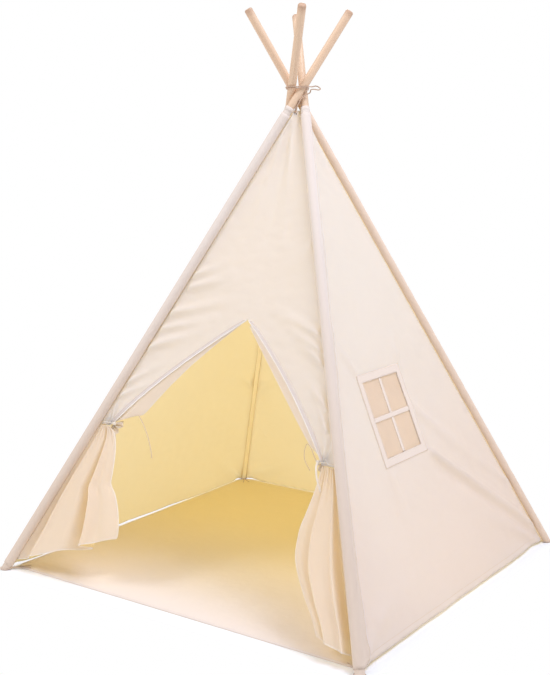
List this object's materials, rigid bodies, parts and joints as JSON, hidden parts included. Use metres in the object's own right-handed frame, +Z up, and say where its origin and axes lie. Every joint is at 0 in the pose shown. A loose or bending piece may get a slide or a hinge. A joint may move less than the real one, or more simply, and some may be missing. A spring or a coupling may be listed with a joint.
{
  "type": "kids teepee",
  "caption": "Child's play teepee: crossed wooden poles lashed at the top, cloth walls on pole sleeves, tied-back door flaps, sewn window and floor mat; the front folds in about the lashing.",
  "frame": {"origin": "centre of the floor square, on the floor, straight below the pole crossing", "axes": "+Z up, -Y out of the door, +X to the right for someone looking in through the door"},
  "size_m": [1.238, 1.238, 1.6371],
  "materials": {
    "pine": "sanded bare pine with a faint straight grain",
    "ferrule_steel": "drawn tube, dull",
    "wall_canvas": "plain-weave cotton canvas, undyed cream",
    "sleeve_canvas": "plain-weave cotton canvas sewn as a tube",
    "flap_canvas": "plain-weave cotton canvas, gathered",
    "window_band": "folded cotton band, topstitched",
    "window_sheer": "fine beige cotton voile",
    "mat_cotton": "thin padded cotton, hemmed",
    "tie_cotton": "narrow cotton cord",
    "lash_twine": "twisted twine",
    "eyelet_metal": "dark pressed ring"
  },
  "bodies": {
    "back_frame": {"pole_back_right_lower": "pine", "pole_back_right_middle": "pine", "pole_back_right_upper": "pine", "ferrule_back_right_lower": "ferrule_steel", "ferrule_back_right_middle": "ferrule_steel", "sleeve_back_right": "sleeve_canvas", "pole_back_left_lower": "pine", "pole_back_left_middle": "pine", "pole_back_left_upper": "pine", "ferrule_back_left_lower": "ferrule_steel", "ferrule_back_left_middle": "ferrule_steel", "sleeve_back_left": "sleeve_canvas", "back_wall": "wall_canvas", "left_wall": "wall_canvas", "right_wall": "wall_canvas", "window_frame": "window_band", "window_mullion_upright": "window_band", "window_mullion_level": "window_band", "window_pane": "window_sheer", "floor_mat": "mat_cotton", "mat_tie_back_right": "tie_cotton", "mat_tie_back_left": "tie_cotton", "lash_cord": "lash_twine"},
    "front_frame": {"pole_front_left_lower": "pine", "pole_front_left_middle": "pine", "pole_front_left_upper": "pine", "ferrule_front_left_lower": "ferrule_steel", "ferrule_front_left_middle": "ferrule_steel", "sleeve_front_left": "sleeve_canvas", "pole_front_right_lower": "pine", "pole_front_right_middle": "pine", "pole_front_right_upper": "pine", "ferrule_front_right_lower": "ferrule_steel", "ferrule_front_right_middle": "ferrule_steel", "sleeve_front_right": "sleeve_canvas", "front_wall": "wall_canvas", "door_facing_left": "flap_canvas", "door_facing_right": "flap_canvas", "top_eyelet": "eyelet_metal", "door_tie_left": "tie_cotton", "door_tie_left_tail": "tie_cotton", "door_tie_right": "tie_cotton", "mat_tie_front_left": "tie_cotton", "mat_tie_front_right": "tie_cotton"},
    "flap_left": {"door_flap_left": "flap_canvas", "door_tie_left_knot": "tie_cotton"},
    "flap_right": {"door_flap_right": "flap_canvas", "door_tie_right_knot": "tie_cotton", "door_tie_right_tail": "tie_cotton"}
  },
  "joints": [
    {"name": "frame_fold", "type": "hinge", "parent": "back_frame", "child": "front_frame", "pos_m": [0, 0, 1.395], "axis": [1, 0, 0], "range_deg": [0, 30], "deforming": ["left_wall", "right_wall", "window_frame", "window_mullion_upright", "window_mullion_level", "window_pane", "floor_mat", "lash_cord"]},
    {"name": "flap_left_swing", "type": "hinge", "parent": "front_frame", "child": "flap_left", "pos_m": [-0.50002, -0.5125, 0.2], "axis": [0.3771, 0.3607, 0.853], "range_deg": [-10, 20]},
    {"name": "flap_right_swing", "type": "hinge", "parent": "front_frame", "child": "flap_right", "pos_m": [0.50379, -0.50887, 0.2], "axis": [0.3607, -0.3771, -0.853], "range_deg": [-10, 20]}
  ]
}
